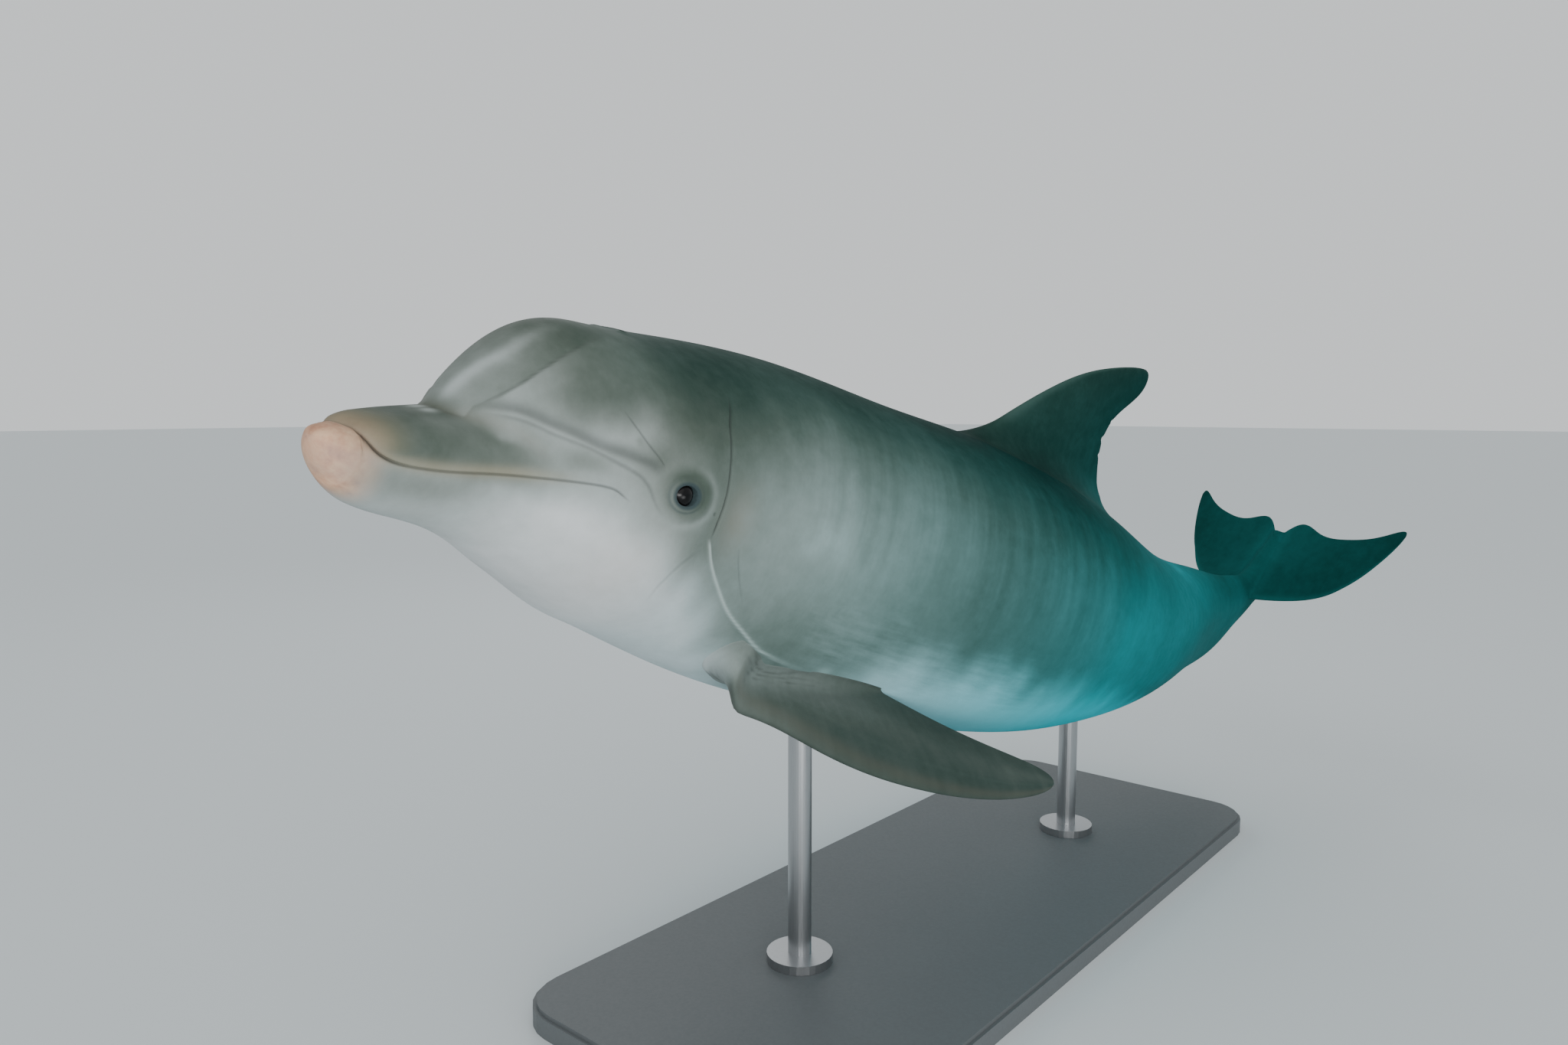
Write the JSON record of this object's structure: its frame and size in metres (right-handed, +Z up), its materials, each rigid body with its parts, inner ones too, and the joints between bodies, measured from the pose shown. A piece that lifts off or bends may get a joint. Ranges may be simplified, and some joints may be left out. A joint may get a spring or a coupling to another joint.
{
  "type": "bottlenose dolphin",
  "caption": "Still life-size model of an adult bottlenose dolphin turning with its tail raised, held by a flat base and two short rods.",
  "frame": {"origin": "middle of the underside of the stand's base, on the floor", "axes": "+X from the head toward the tail, -Y toward the animal's left side, +Z up"},
  "size_m": [2.4322, 0.7556, 0.8621],
  "materials": {
    "beak_skin": "satin wet-looking skin, worn pinkish orange at the tip of the lower jaw",
    "head_skin": "satin grey skin, pale on the throat and cheek, darker over the melon, with soft stripes",
    "flank_skin": "satin grey skin, dark on the back and pale on the belly",
    "back_skin": "satin dark slate grey skin",
    "eye_gloss": "clear, wet and nearly black",
    "stand_paint": "plain board painted satin charcoal",
    "stand_steel": "brushed"
  },
  "bodies": {
    "root": {"upper_jaw": "beak_skin", "lower_jaw": "beak_skin", "head": "head_skin", "neck": "flank_skin", "chest": "flank_skin", "abdomen": "flank_skin", "tail_stock": "back_skin", "dorsal_fin": "back_skin", "flipper_left": "back_skin", "flipper_right": "back_skin", "fluke_left": "back_skin", "fluke_right": "back_skin", "eye_left": "eye_gloss", "eye_right": "eye_gloss", "stand_base": "stand_paint", "stand_rod_front": "stand_steel", "stand_rod_rear": "stand_steel"}
  },
  "joints": []
}
